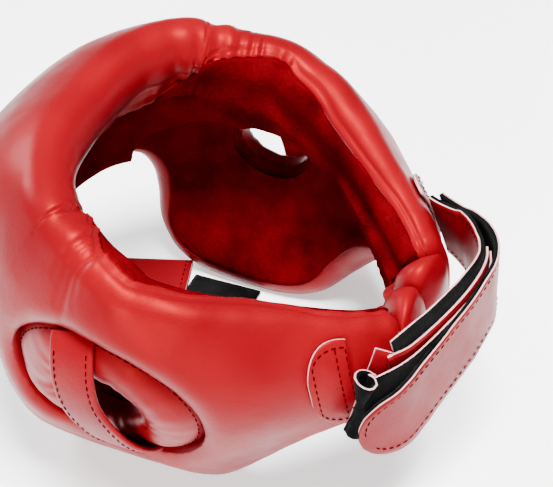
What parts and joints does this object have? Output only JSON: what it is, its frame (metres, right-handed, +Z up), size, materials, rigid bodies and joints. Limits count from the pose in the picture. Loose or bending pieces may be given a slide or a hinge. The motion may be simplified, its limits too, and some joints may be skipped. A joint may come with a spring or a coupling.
{
  "type": "boxing headgear",
  "caption": "Padded boxing headgear with an open crown and face, padded ear rings, and hook-and-loop closure at the back, standing on its lower edge.",
  "frame": {"origin": "centre of the whole part seen from above, on the surface it stands on", "axes": "+X the wearer's left, -Y the face opening, +Z up"},
  "size_m": [0.2106, 0.242, 0.1596],
  "materials": {
    "cover": "glossy",
    "lining": "matt suede",
    "loop_tape": "matt pile"
  },
  "bodies": {
    "root": {"padded_shell": "cover", "lining": "lining", "ear_ring_left": "cover", "ear_ring_right": "cover", "ear_strap_left": "cover", "ear_strap_right": "cover", "gusset_right": "cover", "gusset_left": "cover", "near_patch": "cover", "far_patch": "cover", "far_strap_inner": "cover", "far_strap_outer": "cover", "near_strap": "cover", "near_strap_loop": "loop_tape", "chin_strap_right": "loop_tape", "chin_strap_left": "cover"}
  },
  "joints": []
}
